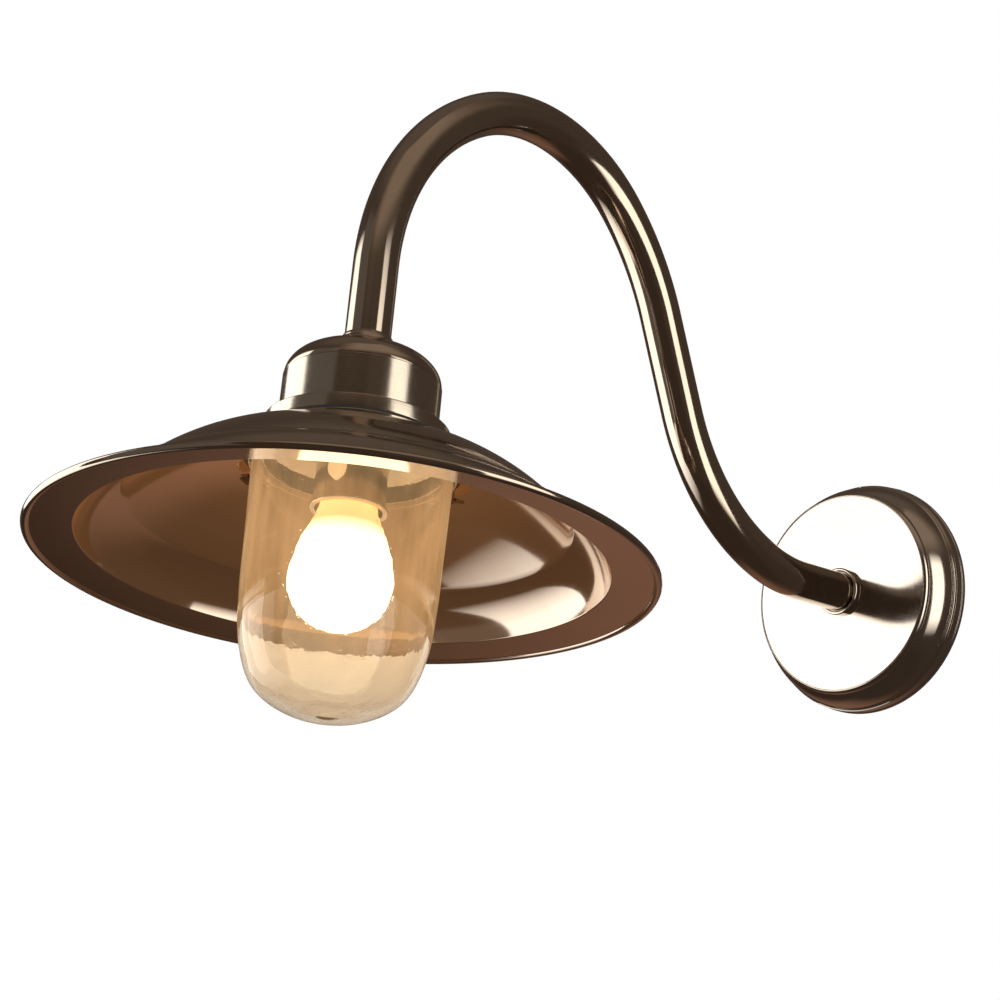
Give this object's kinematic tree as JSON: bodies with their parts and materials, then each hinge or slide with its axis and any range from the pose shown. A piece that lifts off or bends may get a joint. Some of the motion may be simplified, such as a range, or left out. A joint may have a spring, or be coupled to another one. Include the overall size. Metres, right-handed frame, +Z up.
{
  "type": "gooseneck wall sconce",
  "caption": "Swan-neck wall light with a round stepped wall plate, a wide two-cove metal shade and a clear glass jar round the bulb.",
  "frame": {"origin": "centre of the bracket's back face, on the wall", "axes": "+Y out of the wall plate's back into the wall, +Z up, the lamp reaches out along -Y, +X to the right of someone who faces the wall"},
  "size_m": [0.33, 0.6325, 0.3914],
  "materials": {
    "polished_nickel": "polished antique nickel, faint brush marks round the turned pieces",
    "brushed_nickel": "brushed antique nickel",
    "zinc_plate": "zinc-plated pressed steel",
    "nut_brass": "machined brass",
    "gasket_rubber": "dark matt rubber",
    "terminal_plastic": "cream matt plastic",
    "cable_sheath": "white cable sheath",
    "jar_glass": "clear, thick, slightly seeded glass",
    "porcelain": "unglazed white porcelain",
    "bulb_glass": "pearl bulb glass",
    "insulator_glass": "black vitreous insulator",
    "filament_metal": "tungsten and nickel wire"
  },
  "bodies": {
    "fixture": {"wall_gasket": "gasket_rubber", "wall_bracket": "zinc_plate", "wall_plate": "polished_nickel", "plate_side_screws": "brushed_nickel", "arm_washer": "zinc_plate", "arm_locknut": "zinc_plate", "arm_ferrule": "polished_nickel", "terminal_block": "terminal_plastic", "terminal_screws": "zinc_plate", "earth_stud": "nut_brass", "arm_tube": "polished_nickel", "arm_plug": "nut_brass", "supply_cable": "cable_sheath", "stem_nipple": "zinc_plate", "nipple_nut": "nut_brass", "stem_collar": "polished_nickel", "cap_dome": "polished_nickel", "cap_band": "brushed_nickel", "skirt_ring": "polished_nickel", "shade_washer": "gasket_rubber", "shade": "polished_nickel", "gallery": "brushed_nickel", "glass_seal": "gasket_rubber", "holder_cap": "brushed_nickel", "holder_body": "brushed_nickel", "holder_core": "porcelain", "holder_shell": "nut_brass", "holder_contact": "nut_brass", "holder_screw": "nut_brass", "earth_tag": "nut_brass"},
    "jar": {"glass_jar": "jar_glass"},
    "bulb": {"bulb_globe": "bulb_glass", "bulb_cap": "zinc_plate", "bulb_insulator": "insulator_glass", "bulb_contact": "zinc_plate", "bulb_stem": "bulb_glass", "bulb_filament": "filament_metal"},
    "screw_front": {"thumbscrew_front": "nut_brass"},
    "screw_right": {"thumbscrew_right": "nut_brass"},
    "screw_left": {"thumbscrew_left": "nut_brass"}
  },
  "joints": [
    {"name": "jar_drop", "type": "slide", "parent": "fixture", "child": "jar", "axis": [0, -0.1219, -0.9925], "range_m": [0, 0.11]},
    {"name": "bulb_unscrew", "type": "slide", "parent": "fixture", "child": "bulb", "axis": [0, -0.1219, -0.9925], "range_m": [0, 0.02]},
    {"name": "thumbscrew_front_travel", "type": "slide", "parent": "fixture", "child": "screw_front", "axis": [0.7314, -0.6769, 0.0831], "range_m": [0, 0.003]},
    {"name": "thumbscrew_right_travel", "type": "slide", "parent": "fixture", "child": "screw_right", "axis": [0.225, 0.9671, -0.1187], "range_m": [0, 0.003]},
    {"name": "thumbscrew_left_travel", "type": "slide", "parent": "fixture", "child": "screw_left", "axis": [-0.9563, -0.2902, 0.0356], "range_m": [0, 0.003]}
  ]
}
